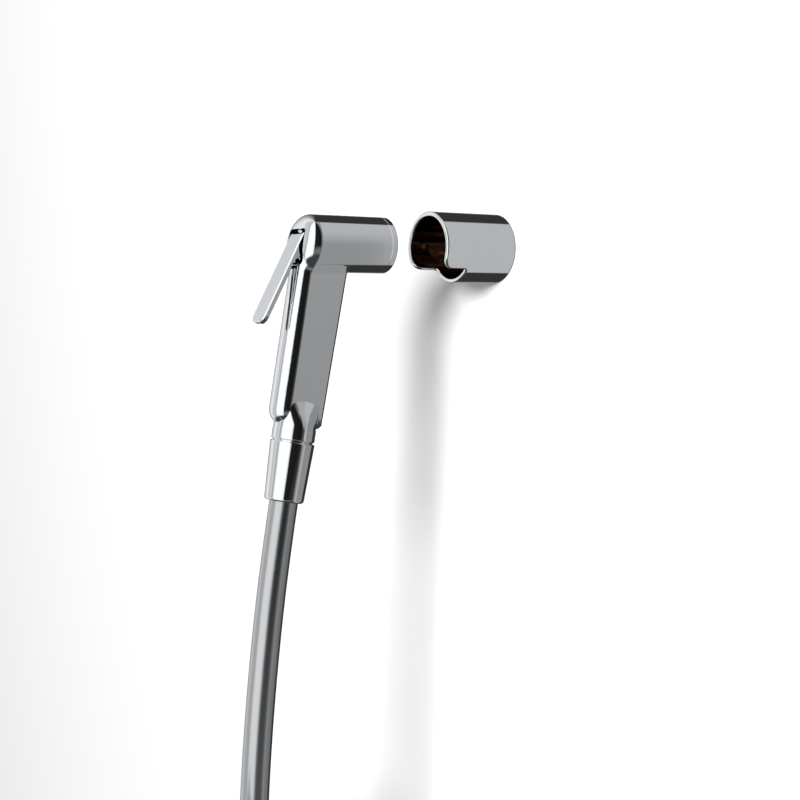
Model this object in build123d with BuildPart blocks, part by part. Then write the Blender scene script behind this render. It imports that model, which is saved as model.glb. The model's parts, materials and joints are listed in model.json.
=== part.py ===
# Handheld bidet shower: a chrome trigger handset on its hose, drawn straight out of its wall holder.
# Frame: the wall is the plane Y = 0, the holder's axis runs along -Y through the origin, +Z is up.
# Millimetres.
import os
from math import copysign, cos, pi, radians, sin, tan

from build123d import *

os.makedirs("parts", exist_ok=True)

# Wall holder
holder_gap = 1.8
holder_length = 46.8
holder_wall = 2.6
holder_floor = 5.2
holder_slot_rise = 7.4
holder_slot_depth = 16.0
holder_slot_round = 6.0
holder_slot_corner = 1.5
holder_rim_round = 1.1
holder_foot_round = 0.8
wall_screw_hole = 5.2
wall_screw_head = 9.6
locating_hole = 2.6
locating_hole_spacing = 17.0
locating_hole_depth = 1.5

# Handset barrel, with its spray end towards the wall
pulled_out = 28.6
barrel_diameter = 30.0
barrel_wall = 3.0
barrel_mouth_wall = 2.3
axis_ahead = 0.5
pocket_wall = 3.0
inlet_chamber_diameter = 14.0
inlet_chamber_length = 7.6
valve_bore = 17.0
main_bore_length = 3.0

# Spray end
ring_length = 3.8
ring_skirt = 4.6
ring_lip = 1.6
ring_face = 5.0
ring_edge_round = 1.0
spray_plate_lap = 0.8
spray_plate_thickness = 2.6
nozzle_hole = 1.3
nozzle_row_pitch = 3.6
first_row_count = 6
second_row_count = 12
gasket_thickness = 1.0
carrier_thickness = 2.2
carrier_post_diameter = 4.0
carrier_post_length = 3.0
carrier_hole = 4.2
carrier_hole_count = 6
carrier_hole_circle = 15.2

# Leaning handle
lean = 10.0
front_offset = 15.3
back_offset_top = 14.7
back_offset_bottom = 12.5
handle_width = 16.0
front_flat = 1.2
head_blend = 6.0
back_chamfer = 2.2
back_round = 1.7
underside_round = 1.2
handle_length = 96.1
neck_diameter = 22.6
neck_start = 97.0
neck_end = 103.6
neck_edge_round = 0.9
flare_length = 18.0
flare_sunk = 0.5
flare_steps = 6
flare_squareness = 5.0
flare_points = 24
flare_inset = 0.25
spigot_diameter = 20.6
spigot_length = 9.6
spigot_edge = 0.8
waterway_diameter = 12.0
waterway_top = 62.0
waterway_overlap = 8.0
riser_diameter = 6.4
riser_setback = 7.2
riser_top = 7.0

# Lever, its pocket and its pin
pocket_width = 16.0
pocket_top = 7.3
pocket_bottom = 13.5
pocket_corner = 2.2
pivot_height = 3.4
pivot_depth = 6.4
pin_diameter = 3.0
pin_inset = 0.8
pin_end_wall = 3.2
lever_width = 12.9
lever_thickness = 2.7
lever_length = 51.3
lever_angle = 28.1
lever_top_height = 5.0
lever_top_depth = 15.2
lever_tip_round = 4.0
lever_edge = 0.6
web_length = 21.5
web_depth = 15.5
web_drop = 6.4
web_hollow = 1.8
hub_radius = 3.7
boss_radius = 2.4
boss_gap = 0.25
cam_radius = 2.0
cam_length = 6.6
cam_width = 6.0

# Valve
stem_diameter = 4.0
stem_drop = 3.0
stem_proud = 2.0
guide_flange_length = 3.0
guide_spigot_diameter = 9.0
stem_ring_section = 1.5
stem_ring_pocket = 2.0
seat_flange_length = 2.4
seat_spigot_length = 3.0
seat_bore = 7.0
seat_lip_height = 0.6
seat_lip_width = 1.2
seat_ring_section = 1.4
valve_washer_diameter = 11.2
valve_washer_thickness = 1.9
valve_head_diameter = 12.0
valve_head_thickness = 1.5
valve_tail_diameter = 4.0
valve_tail_length = 2.5
spring_wire = 0.8
spring_mean_diameter = 6.0
spring_length = 8.0
spring_turns = 4

# Hose and its ends
nut_gap = 0.6
nut_top_diameter = 23.3
nut_bottom_diameter = 20.6
nut_length = 31.2
nut_rim = 0.7
nut_bottom_round = 1.6
hose_diameter = 15.0
washer_thickness = 2.0
ferrule_bore = 7.0
ferrule_flange_diameter = 19.4
ferrule_flange_thickness = 2.0
ferrule_sleeve_length = 8.0
ferrule_washer_bore = 9.0
filter_thickness = 1.2
filter_hole = 2.4
filter_hole_circle = 7.0
filter_hole_count = 6
supply_nut_flats = 24.0
supply_nut_length = 14.0
supply_nut_lip = 2.6
thread_relief = 0.4
coil_mean_diameter = 150.0
coil_strands = 3
coil_centre_height = -376.0
hose_tail_length = 60.0
tie_width = 12.0
tie_thickness = 1.2

# The hose's route down the plane X = 0 from the nut to the coil, chosen by eye, as (Y, Z)
hose_straight = 39.2
hose_drop_y = -158.0
hose_route = [
    (-148.6, -209.0),
    (-154.0, -263.0),
    (-157.2, -320.0),
]

# Clearances
running_fit = 0.05
thread_fit = 0.1
push_fit = 0.02
seat_gap = 0.3
loose_gap = 0.4
cut_margin = 1.0

# Places worked out from the sizes above
barrel_radius = barrel_diameter / 2
barrel_bore = barrel_diameter - 2 * barrel_wall
barrel_mouth_bore = barrel_diameter - 2 * barrel_mouth_wall
ring_opening = barrel_diameter - 2 * ring_face
spray_plate_diameter = ring_opening + 2 * spray_plate_lap
pin_length = barrel_diameter - pin_inset - pin_end_wall
holder_bore_radius = barrel_radius + holder_gap
holder_radius = holder_bore_radius + holder_wall
holder_diameter = 2 * holder_radius
holder_slot_drop = holder_radius - holder_slot_rise
slot_end_y = -holder_length + holder_slot_depth
spray_face_y = -holder_length - pulled_out
body_end_y = spray_face_y - ring_length
skirt_end_y = body_end_y - ring_skirt
gasket_y = skirt_end_y - gasket_thickness
carrier_y = gasket_y - carrier_thickness
# The barrel is as long as what stands in it: from the carrier back through the spring, valve and seat
valve_back_y = carrier_y - spring_wire - spring_length
valve_head_y = valve_back_y - valve_head_thickness
valve_washer_y = valve_head_y - valve_washer_thickness
seat_face_y = valve_washer_y - seat_gap - seat_lip_height
bore_step_y = seat_face_y - seat_flange_length
inner_wall_y = bore_step_y - inlet_chamber_length
pocket_floor_y = inner_wall_y - pocket_wall
pivot_y = pocket_floor_y - pivot_depth
axis_y = pocket_floor_y - axis_ahead
front_round = (handle_width - front_flat) / 2
neck_radius = neck_diameter / 2
spigot_end = neck_end + spigot_length
nut_top = neck_end + nut_gap
nut_bottom = nut_top + nut_length
flange_top = spigot_end + washer_thickness
flange_bottom = flange_top + ferrule_flange_thickness
hose_top = flange_bottom + ferrule_sleeve_length
coil_centre_y = hose_drop_y - coil_mean_diameter / 2
coil_radius = coil_mean_diameter / 2
coil_width = coil_strands * hose_diameter
tail_x = (coil_strands - 1) * hose_diameter

lean_sin = sin(radians(lean))
lean_cos = cos(radians(lean))
down = Vector(0, -lean_sin, -lean_cos)
# Across the handle: local z runs down its axis and local y points out of its front
handle_plane = Plane(origin=(0, axis_y, 0), x_dir=(1, 0, 0), z_dir=down)
# The plane X = 0 with local x running down the handle's axis
handle_half_plane = Plane(origin=(0, axis_y, 0), x_dir=down, z_dir=(1, 0, 0))
handle_axis = Axis((0, axis_y, 0), down)
handle_front = Axis((0, axis_y, 0), handle_plane.y_dir)
# Across the barrel: local z runs towards the wall and local y is up
barrel_plane = Plane(origin=(0, 0, 0), x_dir=(-1, 0, 0), z_dir=(0, 1, 0))
stem_plane = Plane(origin=(0, 0, -stem_drop), x_dir=(-1, 0, 0), z_dir=(0, 1, 0))
stem_axis = Axis((0, 0, -stem_drop), (0, 1, 0))
stem_half_plane = Plane(origin=(0, 0, -stem_drop), x_dir=(0, 1, 0), z_dir=(1, 0, 0))


def down_handle(distance, forward=0.0):
    """The point so far down the handle's axis and out of its front, in the part's frame."""
    return Vector(0, axis_y, 0) + down * distance + handle_plane.y_dir * forward


def disc(plane, diameter, thickness, bore=0.0):
    """A flat disc or ring that stands on a plane."""
    with BuildPart() as piece:
        with BuildSketch(plane):
            Circle(diameter / 2)
            if bore:
                Circle(bore / 2, mode=Mode.SUBTRACT)
        extrude(amount=thickness)
    return piece


def round_ring(plane, axis, along, radius, section):
    """A rubber ring of round section, turned about the axis that the plane's local x runs along."""
    with BuildPart() as piece:
        with BuildSketch(plane):
            with Locations((along, radius)):
                Circle(section / 2)
        revolve(axis=axis)
    return piece


def turned(plane, axis, points):
    """A closed profile turned about the axis that the plane's local x runs along."""
    with BuildPart() as piece:
        with BuildSketch(plane):
            with BuildLine():
                Polyline(*points, close=True)
            make_face()
        revolve(axis=axis)
    return piece


def write(piece, name):
    piece.part.label = name
    export_step(piece.part, f"parts/{name}.step")


# Wall holder: a turned cup, its underside cut away at the mouth for the handle

with BuildPart() as holder:
    with BuildSketch(barrel_plane.offset(-holder_length)):
        Circle(holder_radius)
    extrude(amount=holder_length)
    fillet(holder.faces().sort_by(Axis.Y)[-1].edges(), holder_foot_round)
    with BuildSketch(barrel_plane.offset(-holder_length)):
        Circle(holder_bore_radius)
    extrude(amount=holder_length - holder_floor, mode=Mode.SUBTRACT)
    mouth_y = -holder_length
    round_y = mouth_y + holder_slot_round
    round_z = -holder_slot_drop + holder_slot_round
    with BuildSketch(Plane.YZ):
        with BuildLine():
            Line((round_y, -holder_slot_drop), (slot_end_y, -holder_slot_drop))
            Line((slot_end_y, -holder_slot_drop), (slot_end_y, -holder_diameter))
            Line((slot_end_y, -holder_diameter), (mouth_y - cut_margin, -holder_diameter))
            Line((mouth_y - cut_margin, -holder_diameter), (mouth_y - cut_margin, round_z))
            Line((mouth_y - cut_margin, round_z), (mouth_y, round_z))
            RadiusArc((mouth_y, round_z), (round_y, -holder_slot_drop), -holder_slot_round)
        make_face()
        slot_corner = vertices().sort_by(Axis.X)[-2:].sort_by(Axis.Y)[-1]
        fillet(slot_corner, holder_slot_corner)
    extrude(amount=holder_radius, both=True, mode=Mode.SUBTRACT)
    rim = [
        e
        for e in holder.edges()
        if max(e.center().Y, (e @ 0).Y, (e @ 1).Y) < slot_end_y + 0.1
    ]
    fillet(rim, holder_rim_round)
    with Locations(Plane(origin=(0, -holder_floor, 0), x_dir=(1, 0, 0), z_dir=(0, -1, 0))):
        CounterSinkHole(wall_screw_hole / 2, wall_screw_head / 2, depth=holder_floor)
        with GridLocations(locating_hole_spacing, locating_hole_spacing, 1, 2):
            Hole(locating_hole / 2, depth=locating_hole_depth)
write(holder, "wall_holder")

# Handset body: one casting of barrel, keyhole front, leaning handle, neck and threaded spigot

with BuildPart() as body:
    with BuildSketch(barrel_plane.offset(body_end_y)):
        Circle(barrel_radius)
    extrude(amount=-(body_end_y - axis_y + barrel_diameter))
    front_plane = Plane(origin=down_handle(0, front_offset), x_dir=(1, 0, 0), z_dir=handle_plane.y_dir)
    split(bisect_by=front_plane, keep=Keep.BOTTOM)
    for distance, back in ((0, back_offset_top), (handle_length, back_offset_bottom)):
        with BuildSketch(handle_plane.offset(distance)):
            with Locations((0, (front_offset - back) / 2)):
                Rectangle(handle_width, front_offset + back)
            chamfer(vertices().sort_by(Axis.Y)[:2], back_chamfer)
            fillet(vertices().sort_by(Axis.Y)[:2], back_round)
    loft()
    # The handle's lower end is round, seen from the front
    with BuildSketch(front_plane.offset(front_offset)):
        round_centre = (0, front_plane.to_local_coords(down_handle(handle_length - handle_width / 2)).Y)
        with Locations(round_centre):
            Rectangle(handle_width * 2, handle_width * 2)
            Circle(handle_width / 2, mode=Mode.SUBTRACT)
            with Locations((0, handle_width / 2)):
                Rectangle(handle_width * 2, handle_width, mode=Mode.SUBTRACT)
    extrude(amount=-4 * front_offset, mode=Mode.SUBTRACT)
    junction = [
        e
        for e in body.edges()
        if abs(abs(e.center().X) - handle_width / 2) < 0.6
        and -barrel_radius < e.center().Z < -barrel_radius / 2
        and abs((e @ 0).Z - (e @ 1).Z) < barrel_radius / 2
    ]
    fillet(junction, head_blend)
    keyhole = body.faces().sort_by(handle_front)[-1]
    fillet(keyhole.edges(), front_round)
    underside = [
        e
        for e in body.edges()
        if abs(e.center().X) < 1
        and abs(e.center().Z + barrel_radius) < 0.5
        and body_end_y > e.center().Y > axis_y
        and e.length < handle_width
    ]
    fillet(underside, underside_round)
    # A core grows out of the handle's flat sides into the round neck
    core_radius = neck_radius - flare_inset
    for step in range(flare_steps + 1):
        share = step / flare_steps
        eased = share * share * (3 - 2 * share)
        narrow = handle_width / 2 - flare_sunk
        half_width = narrow + (core_radius - narrow) * eased
        power = 2 / (flare_squareness + (2 - flare_squareness) * eased)
        outline = []
        for corner in range(flare_points):
            angle = 2 * pi * (corner + 0.5) / flare_points
            across = copysign(abs(cos(angle)) ** power, cos(angle)) * half_width
            out = copysign(abs(sin(angle)) ** power, sin(angle)) * core_radius
            outline.append((across, out))
        with BuildSketch(handle_plane.offset(neck_start - flare_length * (1 - share))):
            with BuildLine():
                Spline(*outline, periodic=True)
            make_face()
    loft()
    with BuildSketch(handle_plane.offset(neck_start)):
        Circle(neck_radius)
    extrude(amount=neck_end - neck_start)
    with BuildSketch(handle_plane.offset(neck_end)):
        Circle(spigot_diameter / 2)
    extrude(amount=spigot_length)
    circles = body.edges().filter_by(GeomType.CIRCLE)
    neck_circles = [e for e in circles if (e.arc_center - down_handle(neck_end)).length < 0.01]
    spigot_circles = [e for e in circles if (e.arc_center - down_handle(spigot_end)).length < 0.01]
    fillet(ShapeList(neck_circles).sort_by(SortBy.RADIUS)[-1], neck_edge_round)
    chamfer(spigot_circles, spigot_edge)
    # The lever's pocket in the front, with its hood above
    with BuildSketch(barrel_plane.offset(pocket_floor_y)):
        pocket_low = -pocket_bottom + pocket_width / 2
        with Locations((0, (pocket_top + pocket_low) / 2)):
            Rectangle(pocket_width, pocket_top - pocket_low)
        fillet(vertices().sort_by(Axis.Y)[-2:], pocket_corner)
        with Locations((0, pocket_low)):
            Circle(pocket_width / 2)
    extrude(amount=-barrel_diameter, mode=Mode.SUBTRACT)
    # The pin's hole, open on the side away from the wall-mounted view and blind on the other
    pin_start_x = -barrel_radius + pin_inset
    with BuildSketch(Plane.YZ.offset(-barrel_radius)):
        with Locations((pivot_y, pivot_height)):
            Circle(pin_diameter / 2 + push_fit)
    extrude(amount=pin_length + pin_inset + push_fit, mode=Mode.SUBTRACT)
    # Bores from the spray end: mouth, main bore, valve bore, inlet chamber and the stem guide's hole
    for plane, start, end, diameter in (
        (barrel_plane, carrier_y, body_end_y, barrel_mouth_bore),
        (barrel_plane, carrier_y - main_bore_length, carrier_y, barrel_bore),
        (stem_plane, bore_step_y, carrier_y, valve_bore),
        (stem_plane, inner_wall_y, bore_step_y, inlet_chamber_diameter),
        (stem_plane, pocket_floor_y, inner_wall_y, guide_spigot_diameter + 2 * thread_fit),
    ):
        with BuildSketch(plane.offset(start)):
            Circle(diameter / 2)
        extrude(amount=end - start, mode=Mode.SUBTRACT)
    # Waterway: up the handle from the spigot, then a narrower riser behind the pocket
    with BuildSketch(handle_plane.offset(waterway_top)):
        Circle(waterway_diameter / 2)
    extrude(amount=spigot_end - waterway_top, mode=Mode.SUBTRACT)
    with BuildSketch(handle_plane.offset(riser_top)):
        with Locations((0, -riser_setback)):
            Circle(riser_diameter / 2)
    extrude(amount=waterway_top + waterway_overlap - riser_top, mode=Mode.SUBTRACT)
write(body, "handset_body")

# Lever: a flat bar with a web to its hub, bosses that centre it in the pocket and a nose for the valve stem

lever_down = Vector(0, -sin(radians(lever_angle)), -cos(radians(lever_angle)))
lever_back = Vector(0, cos(radians(lever_angle)), -sin(radians(lever_angle)))
lever_top = Vector(0, pocket_floor_y - lever_top_depth, lever_top_height)
lever_tip = lever_top + lever_down * lever_length
web_foot = lever_top + lever_down * web_length + lever_back * lever_thickness
web_head = Vector(0, pocket_floor_y - web_depth, -web_drop)
web_middle = (web_foot + web_head) * 0.5 - lever_back * web_hollow
pivot = Vector(0, pivot_y, pivot_height)
cam_centre = Vector(0, pocket_floor_y - stem_proud - seat_gap - cam_radius, pivot_height - cam_length)


def in_side_view(*points):
    return [(point.Y, point.Z) for point in points]


with BuildPart() as lever:
    with BuildSketch(Plane.YZ):
        with BuildLine():
            Polyline(*in_side_view(lever_top, lever_tip, lever_tip + lever_back * lever_thickness, web_foot))
            ThreePointArc(*in_side_view(web_foot, web_middle, web_head))
            hub_rise = Vector(0, 0, hub_radius)
            Polyline(*in_side_view(web_head, pivot - hub_rise, pivot + hub_rise, lever_top))
        make_face()
        with Locations(*in_side_view(pivot)):
            Circle(hub_radius)
    extrude(amount=lever_width / 2, both=True)
    tip_corners = [
        e
        for e in lever.edges().filter_by(GeomType.LINE)
        if e.center().Z < lever_tip.Z + lever_thickness and abs(abs(e.center().X) - lever_width / 2) < 0.01
        and e.length < lever_thickness + 0.1
    ]
    fillet(tip_corners, lever_tip_round)
    front_face = lever.faces().sort_by(Axis((0, 0, 0), -lever_back))[-1]
    chamfer(front_face.edges(), lever_edge)
    with BuildSketch(Plane.YZ):
        with Locations(*in_side_view(pivot)):
            Circle(boss_radius)
    extrude(amount=pocket_width / 2 - boss_gap, both=True)
    with BuildSketch(Plane.YZ):
        with Locations(*in_side_view(cam_centre)):
            Circle(cam_radius)
        with BuildLine():
            Polyline(
                *in_side_view(
                    pivot + Vector(0, cam_radius, 0),
                    cam_centre + Vector(0, cam_radius, 0),
                    cam_centre - Vector(0, cam_radius, 0),
                    pivot - Vector(0, cam_radius, 0),
                ),
                close=True,
            )
        make_face()
    extrude(amount=cam_width / 2, both=True)
    with BuildSketch(Plane.YZ.offset(-pocket_width)):
        with Locations(*in_side_view(pivot)):
            Circle(pin_diameter / 2 + running_fit)
    extrude(amount=pocket_width * 2, mode=Mode.SUBTRACT)
write(lever, "lever")

with BuildPart() as lever_pin:
    with BuildSketch(Plane.YZ.offset(pin_start_x)):
        with Locations(*in_side_view(pivot)):
            Circle(pin_diameter / 2)
    extrude(amount=pin_length)
    chamfer(lever_pin.edges(), pin_inset / 4)
write(lever_pin, "lever_pin")

# Valve: guide and its ring in the pocket's wall, seat insert, sprung stem with its washer

guide_radius = inlet_chamber_diameter / 2 - running_fit
stem_radius = stem_diameter / 2
ring_pocket_y = inner_wall_y + guide_flange_length - stem_ring_pocket
ring_pocket_radius = stem_radius + running_fit + stem_ring_section
stem_guide = turned(
    stem_half_plane,
    stem_axis,
    [
        (pocket_floor_y, stem_radius + running_fit),
        (pocket_floor_y, guide_spigot_diameter / 2),
        (inner_wall_y, guide_spigot_diameter / 2),
        (inner_wall_y, guide_radius),
        (inner_wall_y + guide_flange_length, guide_radius),
        (inner_wall_y + guide_flange_length, ring_pocket_radius),
        (ring_pocket_y, ring_pocket_radius),
        (ring_pocket_y, stem_radius + running_fit),
    ],
)
write(stem_guide, "stem_guide")
stem_ring = round_ring(
    stem_half_plane,
    stem_axis,
    ring_pocket_y + stem_ring_pocket / 2,
    stem_radius + running_fit + stem_ring_section / 2,
    stem_ring_section,
)
write(stem_ring, "stem_o_ring")

seat_radius = valve_bore / 2 - thread_fit
seat_spigot_radius = inlet_chamber_diameter / 2 - running_fit
groove_radius = seat_spigot_radius - seat_ring_section
groove_start_y = bore_step_y - (seat_spigot_length + seat_ring_section) / 2
groove_end_y = groove_start_y + seat_ring_section
valve_seat = turned(
    stem_half_plane,
    stem_axis,
    [
        (bore_step_y - seat_spigot_length, seat_bore / 2),
        (bore_step_y - seat_spigot_length, seat_spigot_radius),
        (groove_start_y, seat_spigot_radius),
        (groove_start_y, groove_radius),
        (groove_end_y, groove_radius),
        (groove_end_y, seat_spigot_radius),
        (bore_step_y, seat_spigot_radius),
        (bore_step_y, seat_radius),
        (seat_face_y, seat_radius),
        (seat_face_y, seat_bore / 2 + seat_lip_width),
        (seat_face_y + seat_lip_height, seat_bore / 2 + seat_lip_width / 2),
        (seat_face_y + seat_lip_height, seat_bore / 2),
    ],
)
write(valve_seat, "valve_seat")
seat_ring = round_ring(
    stem_half_plane,
    stem_axis,
    (groove_start_y + groove_end_y) / 2,
    groove_radius + seat_ring_section / 2,
    seat_ring_section - running_fit,
)
write(seat_ring, "seat_o_ring")

stem_end_y = pocket_floor_y - stem_proud
valve_stem = turned(
    stem_half_plane,
    stem_axis,
    [
        (stem_end_y, 0),
        (stem_end_y, stem_radius / 2),
        (stem_end_y + stem_radius / 2, stem_radius),
        (valve_head_y, stem_radius),
        (valve_head_y, valve_head_diameter / 2),
        (valve_back_y, valve_head_diameter / 2),
        (valve_back_y, valve_tail_diameter / 2),
        (valve_back_y + valve_tail_length, valve_tail_diameter / 2),
        (valve_back_y + valve_tail_length, 0),
    ],
)
write(valve_stem, "valve_stem")
washer_plane = stem_plane.offset(valve_washer_y)
washer_bore = stem_diameter + 2 * running_fit
valve_washer = disc(washer_plane, valve_washer_diameter, valve_washer_thickness, washer_bore)
write(valve_washer, "valve_washer")

spring_radius = spring_mean_diameter / 2
spring_start_y = valve_back_y + spring_wire / 2
spring_origin = (0, spring_start_y, -stem_drop)
spring_pitch = spring_length / spring_turns
with BuildPart() as return_spring:
    with BuildLine() as coils:
        Helix(spring_pitch, spring_length, spring_radius, center=spring_origin, direction=(0, 1, 0))
    start = coils.line
    with BuildSketch(Plane(origin=start @ 0, z_dir=start % 0)):
        RegularPolygon(spring_wire / 2, 8)
    sweep()
write(return_spring, "return_spring")

# Spray end: carrier, gasket, screwed ring and the plate with its nozzles

with BuildPart() as carrier:
    with BuildSketch(barrel_plane.offset(carrier_y)):
        Circle(barrel_mouth_bore / 2 - thread_fit)
        with PolarLocations(carrier_hole_circle / 2, carrier_hole_count):
            Circle(carrier_hole / 2, mode=Mode.SUBTRACT)
    extrude(amount=carrier_thickness)
    with BuildSketch(stem_plane.offset(carrier_y - carrier_post_length)):
        Circle(carrier_post_diameter / 2)
    extrude(amount=carrier_post_length)
write(carrier, "spring_carrier")

skirt_radius = barrel_mouth_bore / 2 - thread_fit
plate_seat_radius = spray_plate_diameter / 2 + running_fit
ring_gasket = disc(barrel_plane.offset(gasket_y), 2 * skirt_radius, gasket_thickness, 2 * plate_seat_radius)
write(ring_gasket, "ring_gasket")
lip_y = spray_face_y - ring_lip
with BuildPart() as spray_ring:
    with BuildSketch(Plane.YZ):
        with BuildLine():
            Polyline(
                (skirt_end_y, plate_seat_radius),
                (skirt_end_y, skirt_radius),
                (body_end_y, skirt_radius),
                (body_end_y, barrel_radius),
                (spray_face_y, barrel_radius),
                (spray_face_y, ring_opening / 2),
                (lip_y, ring_opening / 2),
                (lip_y, plate_seat_radius),
                close=True,
            )
        make_face()
    revolve(axis=Axis.Y)
    face_rim = spray_ring.edges().filter_by(GeomType.CIRCLE).group_by(Axis.Y)[-1]
    fillet(face_rim.sort_by(SortBy.RADIUS)[-1], ring_edge_round)
    ring_circles = spray_ring.edges().filter_by(GeomType.CIRCLE)
    back_rim = [e for e in ring_circles if abs(e.center().Y - body_end_y) < 0.01]
    chamfer(ShapeList(back_rim).sort_by(SortBy.RADIUS)[-1], ring_edge_round / 4)
write(spray_ring, "spray_ring")
with BuildPart() as spray_plate:
    with BuildSketch(barrel_plane.offset(lip_y - spray_plate_thickness)):
        Circle(spray_plate_diameter / 2)
        Circle(nozzle_hole / 2, mode=Mode.SUBTRACT)
        for row, count in ((1, first_row_count), (2, second_row_count)):
            with PolarLocations(row * nozzle_row_pitch, count):
                Circle(nozzle_hole / 2, mode=Mode.SUBTRACT)
    extrude(amount=spray_plate_thickness)
write(spray_plate, "spray_plate")

# Hose set at the handset: filter, washer, flanged ferrule and the conical nut

with BuildPart() as inlet_filter:
    with BuildSketch(handle_plane.offset(spigot_end - filter_thickness)):
        Circle(waterway_diameter / 2 - running_fit)
        Circle(filter_hole / 2, mode=Mode.SUBTRACT)
        with PolarLocations(filter_hole_circle / 2, filter_hole_count):
            Circle(filter_hole / 2, mode=Mode.SUBTRACT)
    extrude(amount=filter_thickness)
write(inlet_filter, "inlet_filter")

hose_radius = hose_diameter / 2
thread_bore = spigot_diameter + 2 * thread_fit
hose_washer = disc(
    handle_plane.offset(spigot_end), thread_bore - 2 * thread_fit, washer_thickness, ferrule_washer_bore
)
write(hose_washer, "hose_washer")


def ferrule(plane):
    """A brass end, crimped to the hose: its flange stands on the plane and its sleeve beyond it."""
    with BuildPart() as piece:
        with BuildSketch(plane):
            Circle(ferrule_flange_diameter / 2)
        extrude(amount=ferrule_flange_thickness)
        with BuildSketch(plane.offset(ferrule_flange_thickness)):
            Circle(hose_radius)
        extrude(amount=ferrule_sleeve_length)
        with BuildSketch(plane):
            Circle(ferrule_bore / 2)
        extrude(amount=ferrule_flange_thickness + ferrule_sleeve_length, mode=Mode.SUBTRACT)
    return piece


write(ferrule(handle_plane.offset(flange_top)), "upper_ferrule")

with BuildPart() as hose_nut:
    with BuildSketch(handle_half_plane):
        with BuildLine():
            Polyline(
                (nut_top, thread_bore / 2),
                (nut_top, nut_top_diameter / 2),
                (nut_bottom, nut_bottom_diameter / 2),
                (nut_bottom, hose_radius + loose_gap),
                (flange_bottom + running_fit, hose_radius + loose_gap),
                (flange_bottom + running_fit, thread_bore / 2),
                close=True,
            )
        make_face()
    revolve(axis=handle_axis)
    rings = hose_nut.edges().filter_by(GeomType.CIRCLE).sort_by(Axis(down_handle(0), down))
    fillet([e for e in rings if abs(e.radius - nut_top_diameter / 2) < 0.01], nut_rim)
    fillet([e for e in rings if abs(e.radius - nut_bottom_diameter / 2) < 0.01], nut_bottom_round)
write(hose_nut, "hose_nut")

# Hose: the stretch that hangs, then two turns tied in a coil, then the tail with its supply nut

points = [down_handle(hose_top), down_handle(hose_top + hose_straight)]
points += [Vector(0, y, z) for y, z in hose_route]
points.append(Vector(0, hose_drop_y, coil_centre_height))
radii = []
for before, corner, after in zip(points, points[1:], points[2:]):
    turn = radians((corner - before).get_angle(after - corner))
    radii.append(0.45 * min((corner - before).length, (after - corner).length) / tan(turn / 2))
print("hose radii", [round(radius) for radius in radii])
with BuildPart() as hose:
    with BuildLine() as route:
        FilletPolyline(*points, radius=radii)
    with BuildSketch(Plane(origin=route.line @ 0, z_dir=route.line % 0)):
        Circle(hose_radius)
    sweep()
hanging_length = sum(edge.length for edge in route.edges())
write(hose, "hose")
turn_length = pi * coil_mean_diameter
coil_length = (coil_strands - 1) * turn_length
print("hose length", round(hanging_length + coil_length + hose_tail_length))

coil_plane = Plane.XY.offset(coil_centre_height)
coil_axis = Axis((0, coil_centre_y, coil_centre_height), (1, 0, 0))
with BuildPart() as hose_coil:
    with BuildSketch(coil_plane):
        with Locations((tail_x / 2, hose_drop_y)):
            RectangleRounded(coil_width, hose_diameter, hose_radius - push_fit)
    revolve(axis=coil_axis)
write(hose_coil, "hose_coil")
with BuildPart() as hose_tie:
    with BuildSketch(coil_plane.offset(-tie_width / 2)):
        with Locations((tail_x / 2, coil_centre_y - coil_radius)):
            outer_width = coil_width + 2 * (loose_gap + tie_thickness)
            outer_depth = hose_diameter + 2 * (loose_gap + tie_thickness)
            RectangleRounded(outer_width, outer_depth, hose_radius)
            RectangleRounded(
                outer_width - 2 * tie_thickness,
                outer_depth - 2 * tie_thickness,
                hose_radius - tie_thickness,
                mode=Mode.SUBTRACT,
            )
    extrude(amount=tie_width)
write(hose_tie, "hose_tie")

tail_plane = Plane(origin=(tail_x, hose_drop_y, coil_centre_height), x_dir=(1, 0, 0), z_dir=(0, 0, -1))
with BuildPart() as hose_tail:
    with BuildSketch(tail_plane):
        Circle(hose_radius)
    extrude(amount=hose_tail_length)
write(hose_tail, "hose_tail")

ferrule_end = hose_tail_length + ferrule_sleeve_length + ferrule_flange_thickness
end_plane = Plane(
    origin=(tail_x, hose_drop_y, coil_centre_height - ferrule_end), x_dir=(1, 0, 0), z_dir=(0, 0, 1)
)
write(ferrule(end_plane), "lower_ferrule")
supply_washer = disc(
    end_plane.offset(-washer_thickness), thread_bore - 2 * thread_fit, washer_thickness, ferrule_washer_bore
)
write(supply_washer, "supply_washer")
lip_bottom = ferrule_flange_thickness + running_fit
with BuildPart() as supply_nut:
    with BuildSketch(end_plane.offset(lip_bottom + supply_nut_lip)):
        RegularPolygon(supply_nut_flats / 2, 6, major_radius=False)
    extrude(amount=-supply_nut_length)
    with BuildSketch(end_plane.offset(lip_bottom)):
        Circle(thread_bore / 2)
    extrude(amount=-supply_nut_length, mode=Mode.SUBTRACT)
    # A relief above the thread, where the flange and the washer lie
    with BuildSketch(end_plane.offset(lip_bottom)):
        Circle(thread_bore / 2 + thread_relief)
    extrude(amount=-(lip_bottom + washer_thickness + running_fit), mode=Mode.SUBTRACT)
    with BuildSketch(end_plane.offset(lip_bottom + supply_nut_lip)):
        Circle(hose_radius + running_fit)
    extrude(amount=-supply_nut_length, mode=Mode.SUBTRACT)
write(supply_nut, "supply_nut")
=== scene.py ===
# The bidet shower's looks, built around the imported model. Metres, in the CAD's frame.
import json
import math

import bmesh
import bpy
from mathutils import Matrix, Vector

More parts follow.
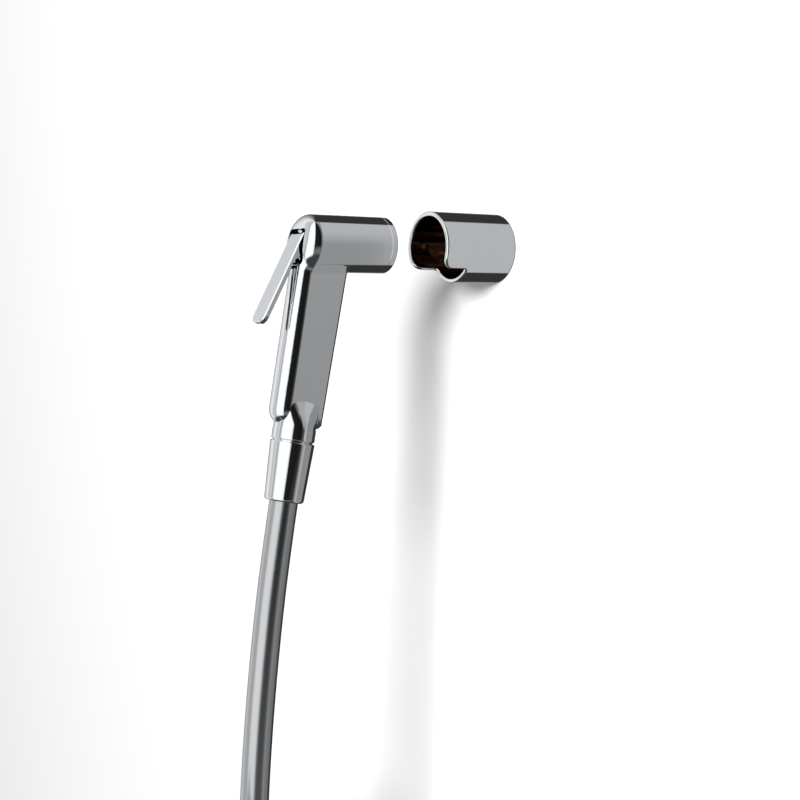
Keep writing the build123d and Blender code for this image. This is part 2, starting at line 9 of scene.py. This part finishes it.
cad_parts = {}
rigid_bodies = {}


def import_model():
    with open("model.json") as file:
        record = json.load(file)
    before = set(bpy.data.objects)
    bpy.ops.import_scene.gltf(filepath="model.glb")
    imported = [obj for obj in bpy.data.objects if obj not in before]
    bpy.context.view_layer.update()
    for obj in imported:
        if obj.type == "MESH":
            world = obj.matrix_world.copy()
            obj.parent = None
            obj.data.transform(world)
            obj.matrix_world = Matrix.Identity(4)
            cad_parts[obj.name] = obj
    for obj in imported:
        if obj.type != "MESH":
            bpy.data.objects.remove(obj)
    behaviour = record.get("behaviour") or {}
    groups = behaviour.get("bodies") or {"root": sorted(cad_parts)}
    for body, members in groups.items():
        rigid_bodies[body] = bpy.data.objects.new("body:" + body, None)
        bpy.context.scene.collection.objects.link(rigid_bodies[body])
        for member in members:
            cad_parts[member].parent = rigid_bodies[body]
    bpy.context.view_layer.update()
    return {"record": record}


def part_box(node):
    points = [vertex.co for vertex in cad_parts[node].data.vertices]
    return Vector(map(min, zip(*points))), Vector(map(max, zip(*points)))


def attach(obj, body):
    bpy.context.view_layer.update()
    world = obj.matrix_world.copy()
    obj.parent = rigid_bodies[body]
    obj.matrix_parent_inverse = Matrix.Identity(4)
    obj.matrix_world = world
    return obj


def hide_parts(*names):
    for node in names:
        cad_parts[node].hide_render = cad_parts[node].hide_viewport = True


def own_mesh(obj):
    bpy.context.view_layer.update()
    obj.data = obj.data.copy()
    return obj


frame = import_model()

# Camera, placed and aimed like the photographer's
AZIMUTH = math.radians(56.367)
ELEVATION = math.radians(4.086)
CAMERA_PLACE = Vector((0.5903, -0.4574, -0.0329))
FOCAL_LENGTH = 58.56
SENSOR_WIDTH = 36.0
FARTHEST_SEEN = 50.0

# The holder. What lies in its bore, to within a margin, and clear of the wall plane counts as its bare inside
holder_low, holder_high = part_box("wall_holder")
HOLDER_RADIUS = (holder_high[0] - holder_low[0]) / 2
HOLDER_WALL = 0.0026
BORE_MARGIN = 0.00005
WALL_MARGIN = 0.001
BARE_BROWN = (0.36, 0.285, 0.24)

# The handle, which leans back and carries the hose's top
LEAN = math.radians(10.0)
DOWN = Vector((0, -math.sin(LEAN), -math.cos(LEAN)))
HANDLE_TOP = Vector((0, -0.1136, 0))

# The hose: straight out of its nut, by a few given points to its coil, then a straight tail
HOSE_DIAMETER = 0.015
HOSE_TOP = 0.1252
HOSE_STRAIGHT = 0.0392
HOSE_ROUTE = [(-0.1486, -0.2090), (-0.1540, -0.2630), (-0.1572, -0.3200)]
HOSE_DROP_Y = -0.158
COIL_Z = -0.376
COIL_RADIUS = 0.075
COIL_TURNS = 2
COIL_STEPS = 16
TAIL_X = COIL_TURNS * HOSE_DIAMETER
TAIL_LENGTH = 0.060
CURVE_ORDER = 3
CURVE_STEPS = 10

# The return spring, between the valve's head and its carrier
STEM_DROP = 0.003
SPRING_START_Y = -0.09537
CARRIER_Y = -0.0870
SPRING_WIRE = 0.0008
SPRING_DIAMETER = 0.006
SPRING_TURNS = 4
SPRING_STEPS = 32
WIRE_SIDES = 8

# How the finishes vary: the noise's detail and middle range, and how much finer the grain is than the shade
NOISE_DETAIL = 3.0
NOISE_RANGE = (0.3, 0.7)
GRAIN_SCALE = 12

# The wall, and the one soft lamp in front of it
WALL_REACH = 3.0
WALL_WHITE = (0.80, 0.80, 0.80)
WALL_ROUGHNESS = 0.9
WALL_GLOW = 0.05
KEY_PLACE = Vector((1.70, -3.12, 0.78))
KEY_TARGET = Vector((0, -0.12, -0.06))
KEY_DIAMETER = 1.24
KEY_POWER = 190.0

# The studio's greys on the room's side, by bearing in degrees from the front
GREY_RAMP = [
    (-180, 0.035),
    (-126, 0.035),
    (-114, 0.16),
    (-100, 0.34),
    (-84, 0.52),
    (-66, 0.84),
    (-57, 0.90),
    (-50, 0.84),
    (-41, 0.58),
    (-33, 0.60),
    (-25, 0.72),
    (-18, 0.45),
    (-11, 0.42),
    (-6, 0.95),
    (0, 1.15),
    (47, 1.15),
    (54, 0.80),
    (58, 0.015),
    (102, 0.008),
    (109, 0.07),
    (116, 0.13),
    (123, 0.20),
    (136, 0.27),
    (168, 0.29),
    (176, 0.05),
]

# A step here and below is the stretch of one coordinate in which one grey passes into the next.
# Low down the room has a faint light, and a dark floor under it
LOW_LIGHT = 0.16
LOW_LIGHT_STEP = (0.05, 0.45)
FLOOR_GREY = 0.05
FLOOR_STEP = (0.55, 0.75)

# Towards the wall the right half is light and grows lighter upwards, with a strip of card and a corner
WALLWARD_STEP = (0.34, 0.46)
HALVES_STEP = (-0.04, 0.04)
LOW_SIDE_GREY = 0.305
HIGH_SIDE_GREY = 0.50
HEIGHT_STEP = (-0.2, 0.8)
CARD_GREY = 0.50
CARD_STEP = (0.53, 0.57)
CORNER_GREY = 0.28
CORNER_STEP = (0.63, 0.67)

# The left half is dark but for a window at eye level
DARK_GREY = 0.035
WINDOW_GREY = 0.30
WINDOW_EDGE_STEP = (0.30, 0.42)
WINDOW_SIDE_STEP = (0.66, 0.76)

# The studio's colour is a little cool, and surfaces that aren't mirrors get an even light
STUDIO_TINT = (0.985, 1.0, 1.015)
EVEN_LIGHT = 0.30
WHITE = (1.0, 1.0, 1.0, 1.0)

# Nodes


def add_node(tree, kind, **values):
    node = tree.nodes.new(kind)
    for key, value in values.items():
        setattr(node, key, value)
    return node


def feed(tree, socket, value):
    """A number is set on the socket, and an output is linked to it."""
    if isinstance(value, (int, float)):
        socket.default_value = value
    else:
        tree.links.new(value, socket)


def maths(tree, operation, *values):
    node = add_node(tree, "ShaderNodeMath", operation=operation)
    for socket, value in zip(node.inputs, values):
        feed(tree, socket, value)
    return node.outputs[0]


def mixed(tree, factor, first, second):
    """Two greys mixed by a factor."""
    node = add_node(tree, "ShaderNodeMix", data_type="FLOAT")
    for key, value in (("Factor", factor), ("A", first), ("B", second)):
        feed(tree, node.inputs[key], value)
    return node.outputs["Result"]


def smooth(tree, value, step):
    """From 0 to 1 with soft ends, as the value passes from the step's start to its end."""
    node = add_node(tree, "ShaderNodeMapRange", interpolation_type="SMOOTHSTEP")
    node.inputs["From Min"].default_value, node.inputs["From Max"].default_value = step
    feed(tree, node.inputs["Value"], value)
    return node.outputs["Result"]


def object_noise(tree, scale):
    """Noise in the object's own coordinates."""
    place = add_node(tree, "ShaderNodeTexCoord")
    noise = add_node(tree, "ShaderNodeTexNoise")
    noise.inputs["Scale"].default_value = scale
    noise.inputs["Detail"].default_value = NOISE_DETAIL
    tree.links.new(place.outputs["Object"], noise.inputs["Vector"])
    return noise.outputs["Fac"]


def spread(tree, noise, low, high):
    """The noise's middle range mapped onto a range of values."""
    node = add_node(tree, "ShaderNodeMapRange")
    node.inputs["From Min"].default_value, node.inputs["From Max"].default_value = NOISE_RANGE
    node.inputs["To Min"].default_value = low
    node.inputs["To Max"].default_value = high
    tree.links.new(noise, node.inputs["Value"])
    return node.outputs["Result"]


def tint(tree, noise, dark, light):
    """Two shades mixed by noise."""
    node = add_node(tree, "ShaderNodeMix", data_type="RGBA")
    node.inputs["A"].default_value = (*dark, 1.0)
    node.inputs["B"].default_value = (*light, 1.0)
    tree.links.new(noise, node.inputs["Factor"])
    return node.outputs["Result"]


def bump(tree, height, strength, distance):
    """Grain on the material's surface."""
    node = add_node(tree, "ShaderNodeBump")
    node.inputs["Strength"].default_value = strength
    node.inputs["Distance"].default_value = distance
    tree.links.new(height, node.inputs["Height"])
    tree.links.new(node.outputs["Normal"], tree.nodes["Principled BSDF"].inputs["Normal"])


# Materials


def new_material(name, color, metallic, roughness):
    material = bpy.data.materials.new(name)
    material.use_nodes = True
    shader = material.node_tree.nodes["Principled BSDF"]
    shader.inputs["Base Color"].default_value = (*color, 1.0)
    shader.inputs["Metallic"].default_value = metallic
    shader.inputs["Roughness"].default_value = roughness
    return material


def finish(name, dark, light, metallic, roughness, scale, grain=0.0, depth=0.0001):
    """A finish whose shade and roughness vary a little over the surface."""
    low, high = roughness
    material = new_material(name, light, metallic, high)
    tree = material.node_tree
    shader = tree.nodes["Principled BSDF"]
    noise = object_noise(tree, scale)
    tree.links.new(tint(tree, noise, dark, light), shader.inputs["Base Color"])
    tree.links.new(spread(tree, noise, low, high), shader.inputs["Roughness"])
    if grain:
        bump(tree, object_noise(tree, scale * GRAIN_SCALE), grain, depth)
    return material


CHROME = finish(
    "chrome_plate",
    dark=(0.86, 0.87, 0.885),
    light=(0.90, 0.91, 0.92),
    metallic=1.0,
    roughness=(0.02, 0.045),
    scale=60,
)
BRASS = finish(
    "turned_brass",
    dark=(0.62, 0.46, 0.20),
    light=(0.74, 0.57, 0.28),
    metallic=1.0,
    roughness=(0.22, 0.34),
    scale=90,
    grain=0.15,
)
STEEL = finish(
    "drawn_steel",
    dark=(0.50, 0.50, 0.49),
    light=(0.62, 0.62, 0.61),
    metallic=1.0,
    roughness=(0.22, 0.32),
    scale=120,
    grain=0.1,
)
RUBBER = finish(
    "seal_rubber",
    dark=(0.012, 0.012, 0.012),
    light=(0.03, 0.03, 0.03),
    metallic=0.0,
    roughness=(0.5, 0.65),
    scale=200,
    grain=0.2,
)
PLASTIC = finish(
    "white_plastic",
    dark=(0.80, 0.81, 0.82),
    light=(0.86, 0.87, 0.88),
    metallic=0.0,
    roughness=(0.25, 0.36),
    scale=90,
    grain=0.06,
)
TIE = finish(
    "tie_plastic",
    dark=(0.03, 0.03, 0.032),
    light=(0.05, 0.05, 0.052),
    metallic=0.0,
    roughness=(0.42, 0.55),
    scale=150,
    grain=0.2,
)
HOSE = finish(
    "satin_hose",
    dark=(0.56, 0.565, 0.57),
    light=(0.60, 0.605, 0.61),
    metallic=1.0,
    roughness=(0.25, 0.29),
    scale=8,
    grain=0.12,
    depth=0.0003,
)


def make_holder_chrome():
    """Chrome outside; inside the cup the plating is thin and the cast brass shows dark brown."""
    material = CHROME.copy()
    material.name = "holder_chrome"
    tree = material.node_tree
    link = tree.links.new
    shader = tree.nodes["Principled BSDF"]
    plated = shader.inputs["Base Color"].links[0].from_socket
    place = add_node(tree, "ShaderNodeTexCoord")
    parts = add_node(tree, "ShaderNodeSeparateXYZ")
    link(place.outputs["Object"], parts.inputs[0])
    across = add_node(tree, "ShaderNodeCombineXYZ")
    link(parts.outputs["X"], across.inputs["X"])
    link(parts.outputs["Z"], across.inputs["Z"])
    off_axis = add_node(tree, "ShaderNodeVectorMath", operation="LENGTH")
    link(across.outputs[0], off_axis.inputs[0])
    bore_radius = HOLDER_RADIUS - HOLDER_WALL
    inside = maths(tree, "LESS_THAN", off_axis.outputs["Value"], bore_radius + BORE_MARGIN)
    off_wall = maths(tree, "LESS_THAN", parts.outputs["Y"], -WALL_MARGIN)
    mix = add_node(tree, "ShaderNodeMix", data_type="RGBA")
    mix.inputs["B"].default_value = (*BARE_BROWN, 1.0)
    link(maths(tree, "MULTIPLY", inside, off_wall), mix.inputs["Factor"])
    link(plated, mix.inputs["A"])
    link(mix.outputs["Result"], shader.inputs["Base Color"])
    return material


HOLDER_CHROME = make_holder_chrome()

MATERIALS = {
    "chrome": CHROME,
    "brass": BRASS,
    "stainless_steel": STEEL,
    "seal_rubber": RUBBER,
    "white_plastic": PLASTIC,
    "tie_plastic": TIE,
    "hose_skin": HOSE,
}
for part in frame["record"]["subparts"]:
    node = bpy.data.objects[part["node"]]
    material = HOLDER_CHROME if part["node"] == "wall_holder" else MATERIALS[part["material_slot"]]
    if not node.material_slots:
        node.data.materials.append(material)
    for slot in node.material_slots:
        slot.material = material

# The hose: one smooth line from the nut, round its coil and down to the supply nut


def hose_points():
    points = [HANDLE_TOP + DOWN * HOSE_TOP, HANDLE_TOP + DOWN * (HOSE_TOP + HOSE_STRAIGHT)]
    points += [Vector((0, y, z)) for y, z in HOSE_ROUTE]
    steps = COIL_TURNS * COIL_STEPS
    for step in range(steps + 1):
        angle = 2 * math.pi * step / COIL_STEPS
        x = TAIL_X * step / steps
        y = HOSE_DROP_Y - COIL_RADIUS + COIL_RADIUS * math.cos(angle)
        points.append(Vector((x, y, COIL_Z - COIL_RADIUS * math.sin(angle))))
    points.append(Vector((TAIL_X, HOSE_DROP_Y, COIL_Z - TAIL_LENGTH / 2)))
    points.append(Vector((TAIL_X, HOSE_DROP_Y, COIL_Z - TAIL_LENGTH)))
    return points


def make_hose():
    curve = bpy.data.curves.new("hose_line", "CURVE")
    curve.dimensions = "3D"
    spline = curve.splines.new("NURBS")
    points = hose_points()
    spline.points.add(len(points) - 1)
    for point, place in zip(spline.points, points):
        point.co = (*place, 1.0)
    spline.order_u = CURVE_ORDER
    spline.use_endpoint_u = True
    spline.resolution_u = CURVE_STEPS
    curve.bevel_depth = HOSE_DIAMETER / 2
    curve.bevel_resolution = CURVE_STEPS
    curve.use_fill_caps = True
    curve.materials.append(HOSE)
    piece = bpy.data.objects.new("hose_line", curve)
    bpy.context.collection.objects.link(piece)
    return piece


hose = make_hose()
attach(hose, "handset")
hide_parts("hose", "hose_coil", "hose_tail")

# The return spring, a fixed helix; the real one shortens as the stem moves off its seat


def spring_rings():
    """Rings of points round the wire, one after another along the helix."""
    end_y = CARRIER_Y - SPRING_WIRE / 2
    steps = SPRING_TURNS * SPRING_STEPS
    rings = []
    for step in range(steps + 1):
        angle = 2 * math.pi * step / SPRING_STEPS
        y = SPRING_START_Y + (end_y - SPRING_START_Y) * step / steps
        ring = []
        for side in range(WIRE_SIDES):
            around = 2 * math.pi * side / WIRE_SIDES
            radius = (SPRING_DIAMETER + SPRING_WIRE * math.cos(around)) / 2
            place = (
                radius * math.cos(angle),
                y + SPRING_WIRE / 2 * math.sin(around),
                radius * math.sin(angle) - STEM_DROP,
            )
            ring.append(place)
        rings.append(ring)
    return rings


def make_spring():
    rings = spring_rings()
    verts = [place for ring in rings for place in ring]
    faces = []
    for near in range(0, len(verts) - WIRE_SIDES, WIRE_SIDES):
        far = near + WIRE_SIDES
        for side in range(WIRE_SIDES):
            after = (side + 1) % WIRE_SIDES
            faces.append((near + side, near + after, far + after, far + side))
    faces.append(tuple(range(WIRE_SIDES)))
    faces.append(tuple(reversed(range(len(verts) - WIRE_SIDES, len(verts)))))
    mesh = bpy.data.meshes.new("spring_coil")
    mesh.from_pydata(verts, [], faces)
    mesh.materials.append(STEEL)
    shape = bmesh.new()
    shape.from_mesh(mesh)
    bmesh.ops.recalc_face_normals(shape, faces=shape.faces)
    shape.to_mesh(mesh)
    shape.free()
    mesh.polygons.foreach_set("use_smooth", [True] * len(mesh.polygons))
    piece = bpy.data.objects.new("spring_coil", mesh)
    bpy.context.collection.objects.link(piece)
    return piece


spring = make_spring()
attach(spring, "handset")
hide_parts("return_spring")
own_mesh(spring)

# Camera


def make_camera():
    data = bpy.data.cameras.new("camera")
    data.lens = FOCAL_LENGTH
    data.sensor_width = SENSOR_WIDTH
    data.clip_end = FARTHEST_SEEN
    camera = bpy.data.objects.new("camera", data)
    level = math.cos(ELEVATION)
    back = Vector((math.sin(AZIMUTH) * level, -math.cos(AZIMUTH) * level, math.sin(ELEVATION)))
    right = Vector((math.cos(AZIMUTH), math.sin(AZIMUTH), 0))
    turn = Matrix((right, back.cross(right), back)).transposed()
    camera.matrix_world = Matrix.Translation(CAMERA_PLACE) @ turn.to_4x4()
    bpy.context.collection.objects.link(camera)
    return camera


bpy.context.scene.camera = make_camera()

# Stage: a white wall that shows from the room's side only


def make_wall_paint():
    """White paint that glows a little to the camera, so that it reads white while shadows stay on it."""
    material = new_material("white_wall", WALL_WHITE, 0.0, WALL_ROUGHNESS)
    tree = material.node_tree
    link = tree.links.new
    path = add_node(tree, "ShaderNodeLightPath")
    emission = add_node(tree, "ShaderNodeEmission")
    link(maths(tree, "MULTIPLY", path.outputs["Is Camera Ray"], WALL_GLOW), emission.inputs["Strength"])
    both = add_node(tree, "ShaderNodeAddShader")
    link(tree.nodes["Principled BSDF"].outputs[0], both.inputs[0])
    link(emission.outputs[0], both.inputs[1])
    face = add_node(tree, "ShaderNodeNewGeometry")
    clear = add_node(tree, "ShaderNodeBsdfTransparent")
    mix = add_node(tree, "ShaderNodeMixShader")
    link(face.outputs["Backfacing"], mix.inputs[0])
    link(both.outputs[0], mix.inputs[1])
    link(clear.outputs[0], mix.inputs[2])
    link(mix.outputs[0], tree.nodes["Material Output"].inputs["Surface"])
    return material


def make_wall():
    far = WALL_REACH
    corners = [(-far, 0, -far), (far, 0, -far), (far, 0, far), (-far, 0, far)]
    mesh = bpy.data.meshes.new("wall")
    mesh.from_pydata(corners, [], [(0, 1, 2, 3)])
    mesh.materials.append(make_wall_paint())
    wall = bpy.data.objects.new("wall", mesh)
    bpy.context.collection.objects.link(wall)
    wall.visible_glossy = False


make_wall()

# Light: one soft lamp from the front right, above


def make_key_lamp():
    """A round lamp that neither the camera nor the chrome sees."""
    data = bpy.data.lights.new("key", "AREA")
    data.shape = "DISK"
    data.size = KEY_DIAMETER
    data.energy = KEY_POWER
    lamp = bpy.data.objects.new("key", data)
    lamp.location = KEY_PLACE
    lamp.rotation_euler = (KEY_TARGET - KEY_PLACE).to_track_quat("-Z", "Y").to_euler()
    bpy.context.collection.objects.link(lamp)
    lamp.visible_glossy = False
    lamp.visible_camera = False


make_key_lamp()

# The studio that the chrome mirrors: white card, grey wall and black cloth round the room, by direction


def room_side(tree, x, y, z):
    """The room's side: the belt of greys by bearing, with the low light and the floor below it."""
    bearing = maths(tree, "ARCTAN2", x, maths(tree, "MULTIPLY", y, -1.0))
    position = maths(tree, "ADD", maths(tree, "DIVIDE", bearing, 2 * math.pi), 0.5)
    belt = add_node(tree, "ShaderNodeValToRGB")
    ramp = belt.color_ramp
    while len(ramp.elements) > 1:
        ramp.elements.remove(ramp.elements[-1])
    for index, (angle, level) in enumerate(GREY_RAMP):
        spot = angle / 360 + 0.5
        element = ramp.elements[0] if index == 0 else ramp.elements.new(spot)
        element.position = spot
        element.color = (level, level, level, 1.0)
    tree.links.new(position, belt.inputs["Fac"])
    below = maths(tree, "MULTIPLY", z, -1.0)
    low_light = maths(tree, "MULTIPLY", smooth(tree, below, LOW_LIGHT_STEP), LOW_LIGHT)
    lit = maths(tree, "MAXIMUM", belt.outputs["Color"], low_light)
    return mixed(tree, smooth(tree, below, FLOOR_STEP), lit, FLOOR_GREY)


def wall_side(tree, x, y, z):
    """The wall's side: a light right half, and a dark left half with its window."""
    light_half = mixed(tree, smooth(tree, z, HEIGHT_STEP), LOW_SIDE_GREY, HIGH_SIDE_GREY)
    light_half = mixed(tree, smooth(tree, y, CARD_STEP), light_half, CARD_GREY)
    light_half = mixed(tree, smooth(tree, y, CORNER_STEP), light_half, CORNER_GREY)
    at_eye_level = maths(tree, "SUBTRACT", 1.0, smooth(tree, maths(tree, "ABSOLUTE", z), WINDOW_EDGE_STEP))
    far_left = smooth(tree, maths(tree, "MULTIPLY", x, -1.0), WINDOW_SIDE_STEP)
    window = maths(tree, "MULTIPLY", at_eye_level, far_left)
    dark_half = mixed(tree, window, DARK_GREY, WINDOW_GREY)
    return mixed(tree, smooth(tree, x, HALVES_STEP), dark_half, light_half)


def background(tree, strength=1.0):
    node = add_node(tree, "ShaderNodeBackground")
    node.inputs["Color"].default_value = WHITE
    node.inputs["Strength"].default_value = strength
    return node


def make_world():
    """The chrome mirrors the studio, the camera sees white, and everything else gets the even light."""
    world = bpy.data.worlds.new("studio")
    bpy.context.scene.world = world
    world.use_nodes = True
    tree = world.node_tree
    tree.nodes.clear()
    link = tree.links.new
    place = add_node(tree, "ShaderNodeTexCoord")
    parts = add_node(tree, "ShaderNodeSeparateXYZ")
    link(place.outputs["Generated"], parts.inputs[0])
    x, y, z = parts.outputs
    wallward = smooth(tree, y, WALLWARD_STEP)
    level = mixed(tree, wallward, room_side(tree, x, y, z), wall_side(tree, x, y, z))
    color = add_node(tree, "ShaderNodeCombineColor")
    for socket, factor in zip(color.inputs, STUDIO_TINT):
        link(maths(tree, "MULTIPLY", level, factor), socket)
    studio = background(tree)
    link(color.outputs[0], studio.inputs["Color"])
    path = add_node(tree, "ShaderNodeLightPath")
    metal = add_node(tree, "ShaderNodeMixShader")
    link(path.outputs["Is Glossy Ray"], metal.inputs[0])
    link(background(tree, EVEN_LIGHT).outputs[0], metal.inputs[1])
    link(studio.outputs[0], metal.inputs[2])
    final = add_node(tree, "ShaderNodeMixShader")
    seen = maths(tree, "MAXIMUM", path.outputs["Is Camera Ray"], path.outputs["Is Transmission Ray"])
    link(seen, final.inputs[0])
    link(metal.outputs[0], final.inputs[1])
    link(background(tree).outputs[0], final.inputs[2])
    output = add_node(tree, "ShaderNodeOutputWorld")
    link(final.outputs[0], output.inputs["Surface"])


make_world()
bpy.context.scene.view_settings.view_transform = "Standard"

bpy.context.view_layer.update()
